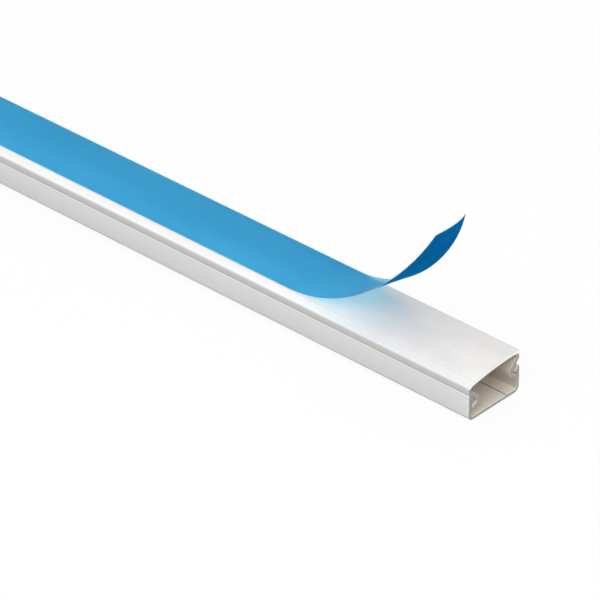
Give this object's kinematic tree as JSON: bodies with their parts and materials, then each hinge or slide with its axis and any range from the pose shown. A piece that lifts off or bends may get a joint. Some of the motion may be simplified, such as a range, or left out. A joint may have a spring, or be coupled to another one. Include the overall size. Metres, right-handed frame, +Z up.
{
  "type": "cord cover raceway",
  "caption": "Straight stick of snap-together plastic cord cover lying with its self-adhesive back up, its release liner peeled from one cut end.",
  "frame": {"origin": "middle of the cover's flat outer face, which lies on the floor", "axes": "+X along the stick toward the end where the liner is peeled, +Y across the stick toward the edge that the adhesive strip runs along, +Z up, out of the adhesive back"},
  "size_m": [0.4, 0.0257, 0.056],
  "materials": {
    "white_plastic": "satin extruded PVC, white",
    "adhesive": "even white adhesive strip, faintly glossy",
    "blue_film": "thin blue release film, glossy, darker on its underside"
  },
  "bodies": {
    "root": {"base_channel": "white_plastic", "snap_cover": "white_plastic", "adhesive_tape": "adhesive", "release_liner": "blue_film"}
  },
  "joints": []
}
